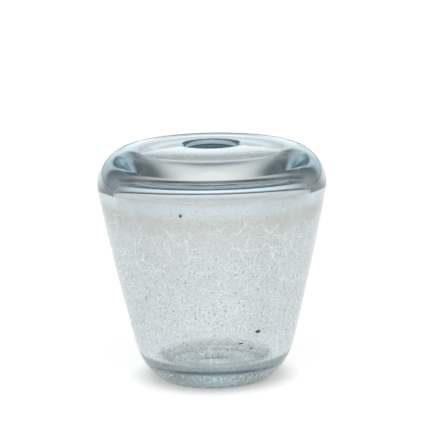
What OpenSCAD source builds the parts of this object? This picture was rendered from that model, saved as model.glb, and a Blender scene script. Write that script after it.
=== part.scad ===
// Mouth-blown glass vase: an upturned cone with a broad round shoulder and a small mouth.
// Two gathers of glass lie one over the other, with a thin crackled skin caught between them
// and a few dark stones in the outer one. The origin is the centre of the foot, on the table.

/* [Body] */
// Widest diameter, across the shoulder
body_d = 160; // [150:1:180]
// Overall height, to the crown of the lip
total_h = 165.6; // [145:0.1:185]
// Radius of the shoulder's round, in section
shoulder_r = 26.4; // [23:0.1:29]
// How far the dome falls from the crown of the lip to the top of the shoulder's round
dome_fall = 1.2; // [0.8:0.1:2.4]
// Radius of the wall's long outward bow, in section
wall_bow_r = 1680; // [900:10:4000]

/* [Foot] */
// Diameter of the flat ground face that the vase stands on
foot_d = 79.4; // [70:0.2:90]
// Radius of the round between wall and foot, in section
foot_round_r = 42; // [34:1:50]
// Angle at which that round meets the table, in degrees
foot_edge_angle = 54; // [48:1:60]
// Diameter of the polished hollow where the pontil was
pontil_d = 26; // [16:1:40]
// Depth of that hollow
pontil_depth = 0.9; // [0.4:0.1:1.5]

/* [Mouth] */
// Clear diameter through the mouth
mouth_d = 36; // [30:1:50]
// Thickness of the dome at the mouth, which the lip rounds over
dome_t = 8; // [8:0.2:10]

/* [Glass] */
// Thickness of the side wall
wall_t = 11; // [9:0.5:14]
// Thickness of the bottom, under the cavity
base_t = 15; // [12:0.5:20]
// Radius of the cavity's domed ceiling, in section
ceiling_r = 168; // [150:1:240]
// Radius between the cavity's ceiling and its wall, in section
cavity_shoulder_r = 13.5; // [10:0.5:18]
// Radius between the cavity's wall and its floor, in section
cavity_corner_r = 10; // [6:0.5:20]
// Thickness of the outer gather on the wall
casing_t = 4; // [3:0.2:4.4]
// Thickness of the outer gather under the foot
casing_base_t = 6; // [4:0.2:7]

/* [Crackled skin] */
// Thickness of the crackled skin between the gathers
skin_t = 0.8; // [0.4:0.1:1.2]
// How far the skin's upper edge lies below the widest ring
skin_drop = 8; // [5:0.5:28]
// Radius at which the skin stops under the foot
skin_foot_r = 20; // [16:1:30]

/* [Stones] */
// Radius of the largest stone
stone_r = 0.9; // [0.5:0.1:1.2]
// Gas film round each stone
stone_film = 0.05; // [0.02:0.01:0.1]

/* [Hidden] */
// Steps of the full turn, and the widest step along a round in section, in degrees
turn_steps = 180;
arc_step = 2.5;
// Least number of steps along any round
least_steps = 6;

// The lip is a full round across the dome's thickness, so its crown stands half of that outside the mouth
lip_r = dome_t / 2;
crown_r = mouth_d / 2 + lip_r;
lip_c = [crown_r, total_h - lip_r];

// Stones as [angle round the vase, share of the height, share of the largest stone]
STONE_SHARES = [
    [-106, 0.783, 1],
    [-60, 0.263, 0.9],
    [-72, 0.218, 0.6],
    [-64, 0.19, 0.45],
    [-135, 0.408, 0.5],
    [-25, 0.434, 0.45],
];

// A point at an angle and a distance from a centre
function polar(centre, r, a) = centre + r * [cos(a), sin(a)];

// The direction from one point to another
function bearing(from, to) = atan2(to.y - from.y, to.x - from.x);

// The point at distance r1 from c1 and r2 from c2, to the left of the way from c1 to c2 or to its right
function meeting(c1, r1, c2, r2, left = true) =
    let (
        way = c2 - c1,
        gap = norm(way),
        along = (r1 * r1 - r2 * r2 + gap * gap) / (2 * gap),
        across = sqrt(r1 * r1 - along * along) * (left ? 1 : -1)
    )
    c1 + (along * way + across * [-way.y, way.x]) / gap;

// Points along a round, given as [centre, radius, first angle, last angle]
function arc_points(arc) =
    let (
        sweep = arc[3] - arc[2],
        steps = max(least_steps, ceil(abs(sweep) / arc_step))
    )
    [for (i = [0:steps]) polar(arc[0], arc[1], arc[2] + sweep * i / steps)];

// Points along rounds that follow each other, with each shared end written once
function chain_points(arcs) = [
    for (i = [0:len(arcs) - 1], j = [0:len(arc_points(arcs[i])) - 1])
        if (i == 0 || j > 0) arc_points(arcs[i])[j]
];

function reversed(points) = [for (i = [len(points) - 1:-1:0]) points[i]];

// The widest ring lies at the height of the shoulder's centre
dome_rise = shoulder_r + dome_fall;
widest_z = total_h - dome_rise;
skin_top_z = widest_z - skin_drop;

// The outside is a chain of four rounds, each tangent to the next: dome, shoulder, wall and foot
shoulder_c = [body_d / 2 - shoulder_r, widest_z];
foot_c = [
    foot_d / 2 - foot_round_r * cos(foot_edge_angle),
    foot_round_r * sin(foot_edge_angle),
];
wall_c = meeting(
    shoulder_c, wall_bow_r - shoulder_r,
    foot_c, wall_bow_r - foot_round_r,
    left = false
);
dome_reach = shoulder_c.x - crown_r;
dome_r = (dome_reach * dome_reach + dome_rise * dome_rise - shoulder_r * shoulder_r)
    / (2 * dome_fall);
dome_c = [crown_r, total_h - dome_r];

// The cavity's wall follows the outside. Its ceiling is a dome of its own, tangent to the lip's round,
// and leaves the glass thickest at the shoulder
ceiling_c = [0, lip_c.y - sqrt(pow(ceiling_r + lip_r, 2) - pow(crown_r, 2))];
cavity_shoulder_c = meeting(
    wall_c, wall_bow_r - wall_t - cavity_shoulder_r,
    ceiling_c, ceiling_r - cavity_shoulder_r
);
cavity_corner_z = base_t + cavity_corner_r;
cavity_corner_c = [
    wall_c.x + sqrt(
        pow(wall_bow_r - wall_t - cavity_corner_r, 2) - pow(cavity_corner_z - wall_c.y, 2)
    ),
    cavity_corner_z,
];

// The direction from the wall's centre to the wall at a height, sunk into the glass by an inset
function wall_angle(z, inset) = asin((z - wall_c.y) / (wall_bow_r - inset));

// The outside sunk into the glass by an inset: from the crown down to the skin's upper edge
function upper_arcs(inset) = [
    [dome_c, dome_r - inset, 90, bearing(dome_c, shoulder_c)],
    [
        shoulder_c, shoulder_r - inset,
        bearing(dome_c, shoulder_c), bearing(wall_c, shoulder_c),
    ],
    [wall_c, wall_bow_r - inset, bearing(wall_c, shoulder_c), wall_angle(skin_top_z, inset)],
];

// The same from the skin's upper edge down to a floor
function lower_arcs(inset, floor_z) = [
    [wall_c, wall_bow_r - inset, wall_angle(skin_top_z, inset), bearing(wall_c, foot_c)],
    [
        foot_c, foot_round_r - inset,
        bearing(wall_c, foot_c), -asin((foot_c.y - floor_z) / (foot_round_r - inset)),
    ],
];

outside_points = chain_points(concat(upper_arcs(0), lower_arcs(0, 0)));

// The seam between the gathers runs above the skin, then along the skin's outer face
seam_upper_points = chain_points(upper_arcs(casing_t));
seam_lower_points = chain_points(lower_arcs(casing_t, casing_base_t));

// The skin's inner face is sunk by its own thickness
skin_floor_z = casing_base_t + skin_t;
under_skin_points = chain_points(lower_arcs(casing_t + skin_t, skin_floor_z));

cavity_points = chain_points([
    [ceiling_c, ceiling_r, bearing(ceiling_c, lip_c), bearing(ceiling_c, cavity_shoulder_c)],
    [
        cavity_shoulder_c, cavity_shoulder_r,
        bearing(ceiling_c, cavity_shoulder_c), bearing(wall_c, cavity_shoulder_c),
    ],
    [
        wall_c, wall_bow_r - wall_t,
        bearing(wall_c, cavity_shoulder_c), bearing(wall_c, cavity_corner_c),
    ],
    [cavity_corner_c, cavity_corner_r, bearing(wall_c, cavity_corner_c), -90],
]);

// The seam comes out inside the mouth, where it meets the round of the lip
lip_seam_angle = 180 - asin((lip_r - casing_t) / lip_r);
lip_outer_points = arc_points([lip_c, lip_r, lip_seam_angle, 90]);
lip_inner_points = arc_points([lip_c, lip_r, lip_seam_angle, 360 + bearing(lip_c, ceiling_c)]);

// Where the middle of the outer gather's wall lies at a height
function casing_mid(z) =
    wall_c.x + sqrt(pow(wall_bow_r - casing_t / 2, 2) - pow(z - wall_c.y, 2));

// The stones, each grown by a film
module stone_balls(film) {
    for (s = STONE_SHARES) {
        z = s[1] * total_h;
        rotate([0, 0, s[0]])
            translate([casing_mid(z), 0, z])
            sphere(stone_r * s[2] + film, $fn = turn_steps / 4);
    }
}

// First gather, tinted: the floor, wall, dome and inner half of the lip
module inner_gather() {
    color([0.52, 0.61, 0.66, 0.45])
        rotate_extrude($fn = turn_steps)
        polygon(concat(
            lip_inner_points,
            cavity_points,
            [[0, base_t], [0, casing_base_t]],
            [[skin_foot_r, casing_base_t], [skin_foot_r, skin_floor_z]],
            reversed(under_skin_points),
            reversed(seam_upper_points)
        ));
}

// Crackled skin that the first gather was rolled in
module crackle_skin() {
    color([0.86, 0.89, 0.9])
        rotate_extrude($fn = turn_steps)
        polygon(concat(
            seam_lower_points,
            [[skin_foot_r, casing_base_t], [skin_foot_r, skin_floor_z]],
            reversed(under_skin_points)
        ));
}

// Last gather, clear: the outside, the foot and the outer half of the lip
module outer_casing() {
    pontil_ball_r = (pontil_depth * pontil_depth + pontil_d * pontil_d / 4) / (2 * pontil_depth);
    color([0.8, 0.85, 0.87, 0.3])
        difference() {
            rotate_extrude($fn = turn_steps)
                polygon(concat(
                    lip_outer_points,
                    outside_points,
                    [[0, 0], [0, casing_base_t]],
                    reversed(seam_lower_points),
                    reversed(seam_upper_points)
                ));
            translate([0, 0, pontil_depth - pontil_ball_r])
                sphere(pontil_ball_r, $fn = turn_steps);
            stone_balls(stone_film);
        }
}

// Dark stones caught in the outer gather
module stones() {
    color([0.12, 0.16, 0.2])
        stone_balls(0);
}

inner_gather();
crackle_skin();
outer_casing();
stones();
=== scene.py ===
import math
import random

import bmesh
import bpy
from mathutils import Matrix, Vector, noise


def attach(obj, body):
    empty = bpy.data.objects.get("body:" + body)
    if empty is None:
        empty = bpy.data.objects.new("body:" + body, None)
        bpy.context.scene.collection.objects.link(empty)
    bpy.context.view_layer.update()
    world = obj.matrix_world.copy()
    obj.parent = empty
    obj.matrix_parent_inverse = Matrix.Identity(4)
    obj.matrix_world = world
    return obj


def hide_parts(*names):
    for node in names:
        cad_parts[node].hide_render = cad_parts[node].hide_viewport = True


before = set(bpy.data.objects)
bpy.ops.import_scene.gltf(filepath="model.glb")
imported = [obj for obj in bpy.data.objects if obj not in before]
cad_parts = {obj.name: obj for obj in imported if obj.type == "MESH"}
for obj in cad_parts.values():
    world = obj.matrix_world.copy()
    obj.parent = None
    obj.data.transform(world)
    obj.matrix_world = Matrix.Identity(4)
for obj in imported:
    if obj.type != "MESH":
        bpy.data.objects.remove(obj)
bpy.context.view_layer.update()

MM = 0.001

# The part's own sizes, in mm, as its source has them
BODY_D = 160.0
WIDEST_Z = 138.0
TOTAL_H = 165.6
SHOULDER_R = 26.4
WALL_BOW_R = 1680.0
FOOT_D = 79.4
FOOT_ROUND_R = 42.0
FOOT_EDGE_ANGLE = math.radians(54)
PONTIL_D = 26.0
PONTIL_DEPTH = 0.9
MOUTH_D = 36.0
DOME_T = 8.0
WALL_T = 11.0
BASE_T = 15.0
CEILING_R = 168.0
CAVITY_SHOULDER_R = 13.5
CAVITY_CORNER_R = 10.0
CASING_T = 4.0
CASING_BASE_T = 6.0
SKIN_T = 0.8
SKIN_TOP_Z = 130.0
SKIN_FOOT_R = 20.0
STONE_R = 0.9

# Stones as angle round the vase, share of the height, share of the largest stone, and stretch along the
# wall and up it
STONES = [
    (-106, 0.783, 1, (1.0, 1.15)),
    (-60, 0.263, 0.9, (2.6, 1.2)),
    (-72, 0.218, 0.6, (3.2, 0.9)),
    (-64, 0.19, 0.45, (2.2, 1.0)),
    (-135, 0.408, 0.5, (0.8, 1.9)),
    (-25, 0.434, 0.45, (0.9, 1.6)),
]

# Steps of the full turn, the widest step along a round in section, and the fewest steps along one
TURN_STEPS = 360
ARC_STEP = math.radians(1.5)
LEAST_STEPS = 8
# A section point nearer to the axis than this, in mm, lies on it
ON_AXIS = 1e-6


# Section geometry, in mm

def vec(x, z):
    return Vector((x, z))


def meeting(c1, r1, c2, r2, left=True):
    """The point at distance r1 from c1 and r2 from c2, left or right of the way between them."""
    way = c2 - c1
    gap = way.length
    along = (r1 * r1 - r2 * r2 + gap * gap) / (2 * gap)
    across = math.sqrt(r1 * r1 - along * along) * (1 if left else -1)
    return c1 + (along * way + across * vec(-way.y, way.x)) / gap


def bearing(a, b):
    """The direction from one point to another."""
    return math.atan2(b.y - a.y, b.x - a.x)


def arc(centre, r, first, last):
    """Points along a round, from one angle to another."""
    steps = max(LEAST_STEPS, math.ceil(abs(last - first) / ARC_STEP))
    angles = [first + (last - first) * i / steps for i in range(steps + 1)]
    return [centre + r * vec(math.cos(a), math.sin(a)) for a in angles]


def chain(*arcs):
    """Points along rounds that follow each other, with each shared end written once."""
    points = []
    for i, a in enumerate(arcs):
        points += arc(*a)[1 if i else 0:]
    return points


# The lip is a full round across the dome's thickness
lip_r = DOME_T / 2
crown_r = MOUTH_D / 2 + lip_r
lip_c = vec(crown_r, TOTAL_H - lip_r)

# The outside is a chain of four tangent rounds: dome, shoulder, wall and foot
shoulder_c = vec(BODY_D / 2 - SHOULDER_R, WIDEST_Z)
foot_c = vec(
    FOOT_D / 2 - FOOT_ROUND_R * math.cos(FOOT_EDGE_ANGLE),
    FOOT_ROUND_R * math.sin(FOOT_EDGE_ANGLE),
)
wall_c = meeting(shoulder_c, WALL_BOW_R - SHOULDER_R, foot_c, WALL_BOW_R - FOOT_ROUND_R, False)
dome_rise = TOTAL_H - WIDEST_Z
dome_reach = shoulder_c.x - crown_r
dome_r = (dome_reach ** 2 + dome_rise ** 2 - SHOULDER_R ** 2) / (2 * (dome_rise - SHOULDER_R))
dome_c = vec(crown_r, TOTAL_H - dome_r)
wall_top = bearing(wall_c, shoulder_c)
wall_foot = bearing(wall_c, foot_c)

# The cavity's wall follows the outside, and its ceiling is a dome of its own
ceiling_c = vec(0, lip_c.y - math.sqrt((CEILING_R + lip_r) ** 2 - crown_r ** 2))
cavity_shoulder_c = meeting(
    wall_c, WALL_BOW_R - WALL_T - CAVITY_SHOULDER_R,
    ceiling_c, CEILING_R - CAVITY_SHOULDER_R,
)
corner_z = BASE_T + CAVITY_CORNER_R
corner_reach = math.sqrt((WALL_BOW_R - WALL_T - CAVITY_CORNER_R) ** 2 - (corner_z - wall_c.y) ** 2)
corner_c = vec(wall_c.x + corner_reach, corner_z)


def pontil_points():
    """The polished hollow under the foot, from its middle to its edge."""
    ball_r = (PONTIL_DEPTH ** 2 + PONTIL_D ** 2 / 4) / (2 * PONTIL_DEPTH)
    reach = math.asin(PONTIL_D / 2 / ball_r)
    return arc(vec(0, PONTIL_DEPTH - ball_r), ball_r, math.pi / 2, math.pi / 2 - reach)


def outside_points():
    """The outside, from the crown of the lip down to the table."""
    dome_end = bearing(dome_c, shoulder_c)
    return chain(
        (dome_c, dome_r, math.pi / 2, dome_end),
        (shoulder_c, SHOULDER_R, dome_end, wall_top),
        (wall_c, WALL_BOW_R, wall_top, wall_foot),
        (foot_c, FOOT_ROUND_R, wall_foot, -math.asin(foot_c.y / FOOT_ROUND_R)),
    )


def cavity_points():
    """The cavity, from the lip down to the edge of its flat floor."""
    ceiling_end = bearing(ceiling_c, cavity_shoulder_c)
    wall_start = bearing(wall_c, cavity_shoulder_c)
    wall_end = bearing(wall_c, corner_c)
    return chain(
        (ceiling_c, CEILING_R, bearing(ceiling_c, lip_c), ceiling_end),
        (cavity_shoulder_c, CAVITY_SHOULDER_R, ceiling_end, wall_start),
        (wall_c, WALL_BOW_R - WALL_T, wall_start, wall_end),
        (corner_c, CAVITY_CORNER_R, wall_end, -math.pi / 2),
    )


def body_points():
    """The body of glass: pontil hollow, outside upwards, lip, cavity downwards, and the floor's middle."""
    lip = arc(lip_c, lip_r, math.pi / 2, 2 * math.pi + bearing(lip_c, ceiling_c))
    floor_middle = vec(0, BASE_T)
    return pontil_points() + outside_points()[::-1] + lip[1:] + cavity_points()[1:] + [floor_middle]


def skin_line(inset, floor_z):
    """The skin's face at an inset from the outside, from its upper edge to where it stops under the foot."""
    wall_r = WALL_BOW_R - inset
    foot_r = FOOT_ROUND_R - inset
    upper_edge = math.asin((SKIN_TOP_Z - wall_c.y) / wall_r)
    under_foot = -math.asin((foot_c.y - floor_z) / foot_r)
    return chain((wall_c, wall_r, upper_edge, wall_foot), (foot_c, foot_r, wall_foot, under_foot))


def outer_radius(z):
    """The outside's radius at a height below the shoulder."""
    wall_low = foot_c.y + FOOT_ROUND_R * math.sin(wall_foot)
    if z < wall_low:
        return foot_c.x + math.sqrt(FOOT_ROUND_R ** 2 - (z - foot_c.y) ** 2)
    return wall_c.x + math.sqrt(WALL_BOW_R ** 2 - (z - wall_c.y) ** 2)


def on_wall(angle, z, depth):
    """The point at an angle in degrees and a height, as far under the outside as the depth says."""
    r = outer_radius(z) - depth
    a = math.radians(angle)
    return Vector((r * math.cos(a), r * math.sin(a), z))


# Mesh helpers

def link(name, mesh, look):
    mesh.materials.append(look)
    ob = bpy.data.objects.new(name, mesh)
    bpy.context.scene.collection.objects.link(ob)
    return ob


def link_smooth(name, mesh, look):
    mesh.polygons.foreach_set("use_smooth", [True] * len(mesh.polygons))
    return link(name, mesh, look)


def face_outwards(mesh):
    bm = bmesh.new()
    bm.from_mesh(mesh)
    bmesh.ops.recalc_face_normals(bm, faces=bm.faces)
    bm.to_mesh(mesh)
    bm.free()


def ring_faces(low, high):
    """The faces between two rings of vertices, either of which may be a single one on the axis."""
    faces = []
    for k in range(TURN_STEPS):
        n = (k + 1) % TURN_STEPS
        if len(low) == 1:
            faces.append((low[0], high[n], high[k]))
        elif len(high) == 1:
            faces.append((low[k], low[n], high[0]))
        else:
            faces.append((low[k], low[n], high[n], high[k]))
    return faces


def revolved(name, points, look, closed=False):
    """A mesh turned about Z from section points in mm, with its normals facing out of the solid."""
    verts, rings = [], []
    for p in points:
        first = len(verts)
        if p.x < ON_AXIS:
            verts.append((0, 0, p.y * MM))
            rings.append([first])
            continue
        for k in range(TURN_STEPS):
            a = 2 * math.pi * k / TURN_STEPS
            verts.append((p.x * math.cos(a) * MM, p.x * math.sin(a) * MM, p.y * MM))
        rings.append(list(range(first, first + TURN_STEPS)))
    pairs = list(zip(rings, rings[1:]))
    if closed:
        pairs.append((rings[-1], rings[0]))
    mesh = bpy.data.meshes.new(name)
    mesh.from_pydata(verts, [], [face for low, high in pairs for face in ring_faces(low, high)])
    face_outwards(mesh)
    return link_smooth(name, mesh, look)


def ball(divisions):
    """The points and triangles of a round ball of radius 1."""
    bm = bmesh.new()
    bmesh.ops.create_icosphere(bm, subdivisions=divisions, radius=1.0)
    bm.verts.ensure_lookup_table()
    points = [v.co.copy() for v in bm.verts]
    faces = [[v.index for v in f.verts] for f in bm.faces]
    bm.free()
    return points, faces


# Scale of the lumps on a grain of radius 1, and the step in the noise between one grain and the next
LUMP_SCALE = 1.3
LUMP_STEP = 7.1


def grains(name, spots, look, divisions, lumpy=0.0):
    """One mesh of small grains: spots are (centre in mm, radius in mm, stretch along and up the wall)."""
    points, faces = ball(divisions)
    verts, tris = [], []
    for i, (centre, r, stretch) in enumerate(spots):
        first = len(verts)
        turn = Matrix.Rotation(math.atan2(centre.y, centre.x), 3, "Z")
        for p in points:
            grow = 1 + lumpy * noise.noise(p * LUMP_SCALE + Vector((i * LUMP_STEP, 0, 0)))
            q = turn @ Vector((p.x, p.y * stretch[0], p.z * stretch[1]))
            verts.append((centre + q * (r * grow)) * MM)
        tris += [[first + k for k in f] for f in faces]
    mesh = bpy.data.meshes.new(name)
    mesh.from_pydata(verts, [], tris)
    return link_smooth(name, mesh, look)


# Materials. Lengths and heights in them are in metres, and scales count per metre

# The middle of the colours of a noise
NOISE_MIDDLE = (0.5, 0.5, 0.5)


class Nodes:
    """Builds a node tree: each call adds a node, sets its plain inputs and links the others."""

    def __init__(self, tree):
        self.tree = tree
        tree.nodes.clear()

    def add(self, kind, inputs=None, **props):
        node = self.tree.nodes.new(kind)
        for key, value in props.items():
            setattr(node, key, value)
        for key, value in (inputs or {}).items():
            socket = node.inputs[key]
            if isinstance(value, bpy.types.NodeSocket):
                self.tree.links.new(value, socket)
            else:
                socket.default_value = value
        return node

    def place(self):
        """Where a point lies on its object."""
        return self.add("ShaderNodeTexCoord").outputs["Object"]

    def height(self, coords):
        return self.add("ShaderNodeSeparateXYZ", {0: coords}).outputs["Z"]

    def math(self, operation, a, b=0.0, clamp=False):
        return self.add("ShaderNodeMath", {0: a, 1: b}, operation=operation, use_clamp=clamp).outputs[0]

    def vector(self, operation, inputs, output="Vector"):
        return self.add("ShaderNodeVectorMath", inputs, operation=operation).outputs[output]

    def product(self, first, *others):
        for factor in others:
            first = self.math("MULTIPLY", first, factor)
        return first

    def ramp(self, value, start, end, at_start=0.0, at_end=1.0):
        """Goes smoothly from one result to another while the value goes from its start to its end."""
        inputs = {"Value": value, "From Min": start, "From Max": end, "To Min": at_start, "To Max": at_end}
        return self.add("ShaderNodeMapRange", inputs, interpolation_type="SMOOTHSTEP").outputs["Result"]

    def colour(self, share, a, b):
        """The first colour where the share is 0, and the second where it is 1."""
        return self.add("ShaderNodeMix", {0: share, 6: a, 7: b}, data_type="RGBA").outputs[2]

    def noise(self, coords, scale, detail=2.0, rough=0.5, output="Fac"):
        inputs = {"Vector": coords, "Scale": scale, "Detail": detail, "Roughness": rough}
        return self.add("ShaderNodeTexNoise", inputs).outputs[output]

    def edges(self, coords, scale):
        """The distance from the nearest edge between cells."""
        inputs = {"Vector": coords, "Scale": scale}
        return self.add("ShaderNodeTexVoronoi", inputs, feature="DISTANCE_TO_EDGE").outputs["Distance"]

    def cells(self, coords, scale):
        """The distance from the middle of a cell, and a random number for each cell."""
        node = self.add("ShaderNodeTexVoronoi", {"Vector": coords, "Scale": scale})
        number = self.add("ShaderNodeSeparateColor", {0: node.outputs["Color"]}).outputs[0]
        return node.outputs["Distance"], number

    def warped(self, coords, scale, amount):
        """The coordinates moved by noise, by up to about an amount."""
        drift = self.noise(coords, scale, output="Color")
        shift = self.vector("SUBTRACT", {0: drift, 1: NOISE_MIDDLE})
        return self.vector("ADD", {0: coords, 1: self.vector("SCALE", {0: shift, "Scale": amount})})

    def bump(self, height, strength, distance):
        inputs = {"Height": height, "Strength": strength, "Distance": distance}
        return self.add("ShaderNodeBump", inputs).outputs[0]

    def surface(self, inputs, volume=None):
        """A Principled surface, and what fills the solid behind it, as the material's output."""
        outputs = {"Surface": self.add("ShaderNodeBsdfPrincipled", inputs).outputs[0]}
        if volume:
            outputs["Volume"] = volume
        self.add("ShaderNodeOutputMaterial", outputs)


def new_material(name):
    m = bpy.data.materials.new(name)
    m.use_nodes = True
    return m, Nodes(m.node_tree)


WHITE = (1, 1, 1, 1)
GLASS_IOR = 1.5
# The same at the wall of a bubble, from the glass into the gas
BUBBLE_IOR = 0.667

GLASS_TINT = (0.595, 0.70, 0.73, 1)
GLASS_DENSITY = 44.0
# Painted light: a glow that the glass gives off inside itself, which lightens its darker parts
GLASS_PAINTED_GLOW = (0.22, 0.36, 0.48, 1)
GLASS_PAINTED_GLOW_STRENGTH = 1.9
# Heights between which the polish gives way to the ground ring
GROUND_RING = (0.00035, 0.0001)
GROUND_ROUGHNESS = (0.25, 0.45)
SMEAR_ROUGHNESS = 0.012
# The grit's height as a share of that of the waves from the blowing
GRIT_SHARE = 0.3
# Scale of the waves upwards as a share of that round the vase, so that they are drawn out upwards
WAVE_DRAWN_OUT = 0.35


def glass_material():
    """Steel-blue tinted glass, faintly wavy from the blowing, with a ground ring where it stands and a
    painted glow inside.
    """
    m, n = new_material("cased_glass")
    at = n.place()
    ground = n.ramp(n.height(at), *GROUND_RING)
    smears = n.ramp(n.noise(at, scale=60, detail=3, rough=0.6), 0.5, 0.75)
    grit = n.noise(at, scale=2600, rough=0.7)
    ground_rough = n.product(ground, n.ramp(grit, 0.2, 0.8, *GROUND_ROUGHNESS))
    rough = n.math("ADD", n.product(smears, SMEAR_ROUGHNESS), ground_rough)
    upwards = n.add("ShaderNodeMapping", {"Vector": at, "Scale": (1, 1, WAVE_DRAWN_OUT)}).outputs[0]
    waves = n.noise(upwards, scale=26, detail=1.5, rough=0.4)
    relief = n.math("ADD", waves, n.product(grit, ground, GRIT_SHARE))
    depth = n.add("ShaderNodeVolumeAbsorption", {"Color": GLASS_TINT, "Density": GLASS_DENSITY})
    # Painted light: the glass glows from within, so parts that would show dark come out lighter
    glow = n.add("ShaderNodeEmission", {"Color": GLASS_PAINTED_GLOW, "Strength": GLASS_PAINTED_GLOW_STRENGTH})
    inside = n.add("ShaderNodeAddShader", {0: depth.outputs[0], 1: glow.outputs[0]})
    n.surface({
        "Base Color": WHITE, "Transmission Weight": 1.0, "IOR": GLASS_IOR, "Roughness": rough,
        "Normal": n.bump(relief, strength=0.55, distance=0.0003)}, volume=inside.outputs[0])
    return m


# Heights between which the skin changes. A pair runs the way in which what it is named after grows
SKIN_FADES_IN = (0.1315, 0.123)
HAZE_THINS = (0.125, 0.095)
VEIL_THINS = (0.125, 0.09)
VEIL_LOSES_WARMTH = (0.122, 0.11)
NET_STARTS = (0.125, 0.116)
NET_CLEARS = (0.085, 0.1)
SMALL_CELLS_START = (0.12, 0.095)
GRAINS_THICKEN = (0.114, 0.088)
FROST_ABOVE_FLOOR = (0.02, 0.055)
CLEAR_RING_ENDS = (0.015, 0.024)
CRUMBS_START = (0.0135, 0.0115)
CRUMB_TINT_STARTS = (0.014, 0.012)
# How far, from top to bottom, the heights at which the cracks change wander round the vase
BOUNDS_WANDER = 0.04

# How much of the light the parts of the skin stop
NET_COVER = 0.5
SMALL_CELL_COVER = 0.24
CURL_COVER = 0.3
PINHOLE_COVER = 0.4
CRUMB_COVER = (0.2, 0.5)
# Share of the fine cells that have no pinhole
UNHOLED_SHARE = 0.6

WARM_VEIL = (0.7, 0.58, 0.44, 1)
NEUTRAL_VEIL = (0.72, 0.68, 0.62, 1)
HAZE_DARK = (0.68, 0.6, 0.49, 1)
HAZE_PALE = (0.76, 0.68, 0.57, 1)
CRACK_TINT = (0.95, 0.965, 0.965, 1)
CRUMB_TINT = (0.54, 0.53, 0.4, 1)
CRUMB_LINE_TINT = (0.93, 0.95, 0.86, 1)
PINHOLE_TINT = (0.06, 0.08, 0.09, 1)

# From the thinnest frost to the thickest
FROST_ROUGHNESS = (0.9, 0.6)
FROST_IOR = 1.1
# Painted light: a glow that the frost gives off by itself, which makes it look lit
FROST_PAINTED_GLOW_STRENGTH = 0.55
WARM_PAINTED_GLOW = (0.47, 0.36, 0.24, 1)
HAZE_PAINTED_GLOW = (0.6, 0.57, 0.55, 1)
VEIL_PAINTED_GLOW = (0.62, 0.58, 0.55, 1)
CRACK_PAINTED_GLOW = (0.9, 0.89, 0.85, 1)
PINHOLE_PAINTED_GLOW = (0.03, 0.04, 0.05, 1)


def frost_surface(n, cover, tint, glow, relief):
    """Frost that lets the rest of the light past: cover is its alpha, glow a painted light that it gives off
    by itself.
    """
    n.surface({
        "Base Color": tint, "Roughness": n.ramp(cover, 0.0, 1.0, *FROST_ROUGHNESS),
        "IOR": FROST_IOR, "Alpha": cover,
        "Normal": n.bump(relief, strength=0.4, distance=0.0003),
        "Emission Color": glow, "Emission Strength": FROST_PAINTED_GLOW_STRENGTH})


def haze_material():
    """The skin's inner face, where it melts into the first gather as an even, faintly cloudy veil."""
    m, n = new_material("gather_haze")
    at = n.place()
    z = n.height(at)
    cloud = n.noise(at, scale=60, detail=4, rough=0.6)
    cover = n.product(
        n.ramp(z, *HAZE_THINS, at_start=0.15, at_end=0.09), n.ramp(z, *FROST_ABOVE_FLOOR, at_start=0.15),
        n.ramp(cloud, 0.3, 0.7, at_start=0.7, at_end=1.3), n.ramp(z, *SKIN_FADES_IN))
    # Painted light: the haze glows by itself, warm near its top and neutral lower down
    glow = n.colour(n.ramp(z, *VEIL_LOSES_WARMTH), WARM_PAINTED_GLOW, HAZE_PAINTED_GLOW)
    frost_surface(n, cover, n.colour(cloud, HAZE_DARK, HAZE_PALE), glow, cloud)
    return m


def crack_net(n, at, z):
    """Wide cells whose edges are thin pale cracks, broken off here and there."""
    cracks = n.ramp(n.edges(n.warped(at, scale=180, amount=0.006), scale=78), 0.042, 0.014)
    broken = n.ramp(n.noise(at, scale=110), 0.38, 0.58, at_start=0.5)
    where = n.product(n.ramp(z, *NET_STARTS), n.ramp(z, *NET_CLEARS, at_start=0.08))
    return n.product(cracks, broken, where)


def small_cells(n, at, z):
    """Smaller cells between the wide ones, in patches."""
    cracks = n.ramp(n.edges(n.warped(at, scale=500, amount=0.0016), scale=250), 0.1, 0.03)
    where = n.product(n.ramp(z, *SMALL_CELLS_START), n.ramp(n.noise(at, scale=70), 0.42, 0.56))
    return n.product(cracks, where)


def curled_threads(n, at, z):
    """Short curled threads and grains, denser downwards."""
    threads = n.noise(n.warped(at, scale=900, amount=0.0006), scale=640, detail=1.0)
    patches = n.ramp(n.noise(at, scale=150), 0.3, 0.6, at_start=0.5)
    where = n.product(n.ramp(z, *GRAINS_THICKEN), patches)
    return n.product(n.ramp(threads, 0.5, 0.6), where)


def pinholes(n, at, z):
    """Dark pinholes in some of the cells of a fine pattern."""
    from_middle, number = n.cells(at, scale=340)
    picked = n.math("GREATER_THAN", number, UNHOLED_SHARE)
    return n.product(n.ramp(from_middle, 0.3, 0.16), picked, n.ramp(z, *GRAINS_THICKEN))


def foot_crumbs(n, at, z):
    """Dense crumbs round the foot."""
    crumbs = n.noise(n.warped(at, scale=600, amount=0.0009), scale=470, detail=2.5, rough=0.65)
    return n.product(n.ramp(crumbs, 0.4, 0.6, *CRUMB_COVER), n.ramp(z, *CRUMBS_START))


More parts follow.
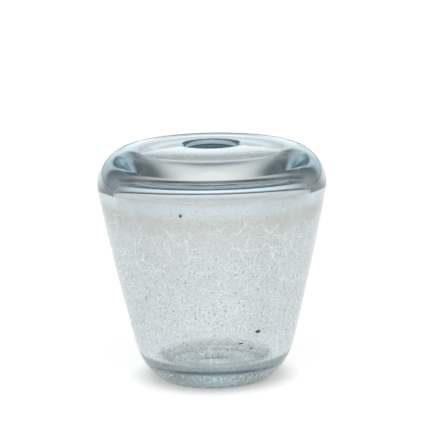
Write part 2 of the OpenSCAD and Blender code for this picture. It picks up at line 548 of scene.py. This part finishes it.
def crackle_material():
    """A net of pale cracks in the upper part, which closes up downwards into fine threads and pinholes."""
    m, n = new_material("crackle_frost")
    at = n.place()
    z = n.height(at)
    patches = n.noise(at, scale=38, detail=3, rough=0.6)
    wandering_z = n.math("ADD", z, n.product(n.math("SUBTRACT", patches, 0.5), BOUNDS_WANDER))

    net = n.product(crack_net(n, at, wandering_z), NET_COVER)
    small = n.product(small_cells(n, at, wandering_z), SMALL_CELL_COVER)
    curls = n.product(curled_threads(n, at, wandering_z), CURL_COVER)
    pale = n.math("ADD", n.math("ADD", net, small), curls, clamp=True)
    holes = pinholes(n, at, wandering_z)
    thin_veil = n.product(
        n.ramp(wandering_z, *VEIL_THINS, at_start=0.17, at_end=0.15),
        n.ramp(z, *FROST_ABOVE_FLOOR, at_start=0.2))

    # The frost of the wall, a clear ring under it, and the crumbs round the foot
    frost = n.math("MAXIMUM", thin_veil, n.math("MAXIMUM", pale, n.product(holes, PINHOLE_COVER)))
    frost = n.product(frost, n.ramp(z, *CLEAR_RING_ENDS))
    cover = n.product(n.math("MAXIMUM", frost, foot_crumbs(n, at, z)), n.ramp(z, *SKIN_FADES_IN))

    low = n.ramp(z, *CRUMB_TINT_STARTS)
    neutral = n.ramp(z, *VEIL_LOSES_WARMTH)
    is_crack = n.ramp(pale, 0.04, 0.16)
    veil = n.colour(low, n.colour(neutral, WARM_VEIL, NEUTRAL_VEIL), CRUMB_TINT)
    crack = n.colour(low, CRACK_TINT, CRUMB_LINE_TINT)
    tint = n.colour(holes, n.colour(is_crack, veil, crack), PINHOLE_TINT)
    # Painted light: the veil and cracks glow by themselves, warm near the top, and the pinholes barely glow
    veil_painted_glow = n.colour(neutral, WARM_PAINTED_GLOW, VEIL_PAINTED_GLOW)
    glow = n.colour(holes, n.colour(is_crack, veil_painted_glow, CRACK_PAINTED_GLOW), PINHOLE_PAINTED_GLOW)
    frost_surface(n, cover, tint, glow, pale)
    return m


def seed_material():
    """The wall of a gas bubble in the glass."""
    m, n = new_material("gas_bubble")
    dull = n.ramp(n.noise(n.place(), scale=900), 0.4, 0.7, at_end=0.08)
    n.surface({
        "Base Color": WHITE, "Transmission Weight": 1.0, "IOR": BUBBLE_IOR, "Roughness": dull})
    return m


STONE_DARK = (0.02, 0.035, 0.06, 1)
STONE_SHEEN = (0.1, 0.17, 0.3, 1)
STONE_ROUGHNESS = (0.55, 0.85)


def stone_material():
    """Dark unmelted matter with a bluish sheen."""
    m, n = new_material("dark_stone")
    spots = n.noise(n.place(), scale=1500, detail=3, rough=0.6)
    n.surface({
        "Base Color": n.colour(n.ramp(spots, 0.35, 0.65), STONE_DARK, STONE_SHEEN),
        "Roughness": n.ramp(spots, 0.3, 0.7, *STONE_ROUGHNESS),
        "Normal": n.bump(spots, strength=0.6, distance=0.0001)})
    return m


# Pieces

def add_glass_body():
    """The inner gather and the outer casing as one closed body, because no surface shows between them."""
    body = revolved("glass_body", body_points(), glass_material())
    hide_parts("inner_gather", "outer_casing")
    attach(body, "root")


def add_crackled_skin():
    """The thin skin between the gathers, with the cracks on its outer face and the haze on its inner one."""
    outer = skin_line(CASING_T, CASING_BASE_T)
    inner = skin_line(CASING_T + SKIN_T, CASING_BASE_T + SKIN_T)
    lower_edge = [vec(SKIN_FOOT_R, CASING_BASE_T), vec(SKIN_FOOT_R, CASING_BASE_T + SKIN_T)]
    skin = revolved("crackled_skin", outer + lower_edge + inner[::-1], crackle_material(), closed=True)
    skin.data.materials.append(haze_material())
    haze_slot = 1
    inner_from = (len(outer) + 1) * TURN_STEPS
    for face in skin.data.polygons:
        if min(face.vertices) >= inner_from:
            face.material_index = haze_slot
    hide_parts("crackle_skin")
    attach(skin, "root")


def add_stones():
    spots = [
        (on_wall(angle, share * TOTAL_H, CASING_T / 2), STONE_R * size, stretch)
        for angle, share, size, stretch in STONES
    ]
    stones = grains("dark_stones", spots, stone_material(), divisions=3, lumpy=0.5)
    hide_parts("stones")
    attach(stones, "root")


# Gas bubbles, in mm: the lowest one's height, the heights above it, and how much they crowd downwards
SEED_COUNT = 3200
SEED_LOWEST = 7
SEED_REACH = 108
SEED_CROWDING = 1.3
# They thin out where the wall is narrower than this radius
SEED_WIDEST_R = 78
# Most lie near the skin, the others at any depth
SEED_NEAR_SHARE = 0.8
SEED_NEAR_SKIN = (3.2, 6.0)
SEED_ANY_DEPTH = (1.2, 8.5)
# Their radius, and how much a few large ones have more
SEED_SMALLEST = 0.14
SEED_GROWTH = 0.2
SEED_LARGE_SHARE = 0.06
SEED_LARGE_EXTRA = 0.16
SEED_STRETCH_ALONG = (0.8, 1.4)
SEED_STRETCH_UP = (0.8, 1.2)

# The ring of bubbles round the largest stone, in mm, and the wall's radius there
HALO_COUNT = 14
HALO_SPREAD = (1.2, 2.4)
HALO_SIZE = (0.12, 0.25)
HALO_WALL_R = 75


def seeds_in_wall():
    spots = []
    while len(spots) < SEED_COUNT:
        z = SEED_LOWEST + SEED_REACH * random.random() ** SEED_CROWDING
        if random.random() > outer_radius(z) / SEED_WIDEST_R:
            continue
        near = random.random() < SEED_NEAR_SHARE
        depth = random.uniform(*(SEED_NEAR_SKIN if near else SEED_ANY_DEPTH))
        size = SEED_SMALLEST + SEED_GROWTH * random.random() ** 2
        size += SEED_LARGE_EXTRA if random.random() < SEED_LARGE_SHARE else 0
        stretch = (random.uniform(*SEED_STRETCH_ALONG), random.uniform(*SEED_STRETCH_UP))
        spots.append((on_wall(random.uniform(0, 360), z, depth), size, stretch))
    return spots


def seeds_round_stone():
    angle, share = STONES[0][:2]
    spots = []
    for k in range(HALO_COUNT):
        a = math.tau * k / HALO_COUNT
        spread = random.uniform(*HALO_SPREAD)
        at_angle = angle + math.degrees(spread * math.cos(a) / HALO_WALL_R)
        spot = on_wall(at_angle, share * TOTAL_H + spread * math.sin(a), CASING_T / 2)
        spots.append((spot, random.uniform(*HALO_SIZE), (1, 1)))
    return spots


def add_seeds():
    spots = seeds_in_wall() + seeds_round_stone()
    seeds = grains("seed_bubbles", spots, seed_material(), divisions=1)
    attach(seeds, "root")


# Stage

FLOOR_HALF = 8
# The floor lies this far below the foot
FLOOR_GAP = 0.0002
FLOOR_DARK = (0.54, 0.54, 0.54, 1)
FLOOR_PALE = (0.56, 0.56, 0.56, 1)
FLOOR_GLOW_STRENGTH = 0.81
# The glow is full under the middle, a painted light for what would come down through the glass, and far out,
# where the floor is evenly bright.
# It is least a little inside the edge of the foot, a painted shadow. The pairs are distances from the axis
FLOOR_GLOW_IN_PAINTED_SHADOW = 0.35
PAINTED_SHADOW_DEEPENS = (0.026, 0.033)
PAINTED_SHADOW_FADES = (0.034, 0.064)


def floor_material():
    """A pale floor that glows a little, less so in a painted shadow just inside the edge of the foot."""
    m, n = new_material("pale_floor")
    at = n.place()
    from_axis = n.vector("LENGTH", {0: at}, output="Value")
    # Painted shadow: the glow dips in a ring just inside the foot's edge and stays full under the middle as
    # painted light
    glow = n.math(
        "MAXIMUM",
        n.ramp(from_axis, *PAINTED_SHADOW_DEEPENS, at_start=1.0, at_end=FLOOR_GLOW_IN_PAINTED_SHADOW),
        n.ramp(from_axis, *PAINTED_SHADOW_FADES, at_start=FLOOR_GLOW_IN_PAINTED_SHADOW))
    n.surface({
        "Base Color": n.colour(n.noise(at, scale=6, detail=3), FLOOR_DARK, FLOOR_PALE), "Roughness": 0.9,
        "Emission Color": glow, "Emission Strength": FLOOR_GLOW_STRENGTH})
    return m


def add_floor():
    mesh = bpy.data.meshes.new("floor")
    corners = [(-1, -1), (1, -1), (1, 1), (-1, 1)]
    mesh.from_pydata([(x * FLOOR_HALF, y * FLOOR_HALF, 0) for x, y in corners], [], [(0, 1, 2, 3)])
    floor = link("floor", mesh, floor_material())
    floor.location.z = -FLOOR_GAP


# Soft lights, and dark flags between them. Heights are sines, and turns are shares of half a turn from
# straight behind. BEHIND, FRONT and ZENITH lie so far out that a light has no edge there, and NADIR is
# straight down
BEHIND = -1.0
FRONT = 2.0
ZENITH = 2.0
NADIR = -1.0
WARM = (1, 0.93, 0.86)
NEUTRAL = (1, 1, 1)
COOL = (0.9, 0.97, 1)
FLAG_TINT = (0.016, 0.022, 0.026)
LIGHTS = [
    # tint, brightness, (lowest, highest, softness), (first turn, last turn, softness)
    (COOL, 1.45, (0.05, 0.25, 0.05), (BEHIND, 0.08, 0.10)),
    (WARM, 1.35, (0.52, 0.74, 0.09), (BEHIND, 0.12, 0.12)),
    (NEUTRAL, 0.3, (0.84, ZENITH, 0.10), (BEHIND, 0.12, 0.12)),
    (NEUTRAL, 0.25, (NADIR, 0.14, 0.06), (0.10, 0.34, 0.14)),
    (NEUTRAL, 0.45, (0.16, 0.50, 0.10), (0.10, 0.34, 0.14)),
    (NEUTRAL, 1.3, (0.12, 0.27, 0.06), (0.65, FRONT, 0.25)),
    (NEUTRAL, 1.5, (0.72, ZENITH, 0.10), (0.65, FRONT, 0.25)),
]
# Keeps straight up and straight down from dividing by nothing
LEAST_LEVEL = 1e-5


def soft_band(n, value, low, high, edge):
    """1 between two values and 0 outside them, with soft edges."""
    return n.product(n.ramp(value, low - edge, low + edge), n.ramp(value, high + edge, high - edge))


def turn_from_behind(n, axes):
    """How far a direction is turned from straight behind the vase, as a share of half a turn."""
    level = n.add("ShaderNodeCombineXYZ", {"X": axes["X"], "Y": axes["Y"]}).outputs[0]
    length = n.vector("LENGTH", {0: level}, output="Value")
    cosine = n.math("DIVIDE", axes["Y"], n.math("MAXIMUM", length, LEAST_LEVEL))
    cosine = n.math("MAXIMUM", n.math("MINIMUM", cosine, 1.0), -1.0)
    return n.math("DIVIDE", n.math("ARCCOSINE", cosine), math.pi)


def add_studio():
    world = bpy.data.worlds.new("studio")
    bpy.context.scene.world = world
    world.use_nodes = True
    n = Nodes(world.node_tree)
    way = n.add("ShaderNodeTexCoord").outputs["Generated"]
    axes = n.add("ShaderNodeSeparateXYZ", {0: way}).outputs
    turn = turn_from_behind(n, axes)
    light = FLAG_TINT
    for tint, brightness, heights, turns in LIGHTS:
        patch = n.product(soft_band(n, axes["Z"], *heights), soft_band(n, turn, *turns))
        lit = n.vector("SCALE", {0: tint, "Scale": n.product(patch, brightness)})
        light = n.vector("ADD", {0: light, 1: lit})
    back = n.add("ShaderNodeBackground", {"Color": light, "Strength": 1.0})
    n.add("ShaderNodeOutputWorld", {"Surface": back.outputs[0]})


# The camera's place, in metres, and its turns, in radians, as fitted to the vase's outline. Its focal length
# and optical centre are in pixels of the photograph's frame
CAM_BACK = 1.4018947
CAM_UP = 0.3967623
CAM_PITCH = 0.1990431
CAM_ROLL = -0.0183579
CAM_FOCAL = 2038.45
CAM_X = 212.4721
CAM_Y = 216.1178
FRAME_PX = 432
SENSOR = 36
CLIP_NEAR = 0.05
CLIP_FAR = 50


def add_camera():
    lens = bpy.data.cameras.new("camera")
    lens.sensor_width = SENSOR
    lens.lens = CAM_FOCAL / FRAME_PX * SENSOR
    lens.shift_x = (FRAME_PX / 2 - CAM_X) / FRAME_PX
    lens.shift_y = (CAM_Y - FRAME_PX / 2) / FRAME_PX
    lens.clip_start = CLIP_NEAR
    lens.clip_end = CLIP_FAR
    camera = bpy.data.objects.new("camera", lens)
    bpy.context.scene.collection.objects.link(camera)
    tilt = Matrix.Rotation(math.pi / 2 - CAM_PITCH, 4, "X") @ Matrix.Rotation(CAM_ROLL, 4, "Z")
    camera.matrix_world = Matrix.Translation((0, -CAM_BACK, CAM_UP)) @ tilt
    bpy.context.scene.camera = camera


def set_scene():
    """Colours shown as they are, and as many bounces as rays need to pass all the glass and frost."""
    scene = bpy.context.scene
    scene.view_settings.view_transform = "Standard"
    scene.cycles.max_bounces = 24
    scene.cycles.transmission_bounces = 24
    scene.cycles.glossy_bounces = 12
    scene.cycles.transparent_max_bounces = 48


random.seed(11)
add_glass_body()
add_crackled_skin()
add_stones()
add_seeds()
add_floor()
add_studio()
add_camera()
set_scene()
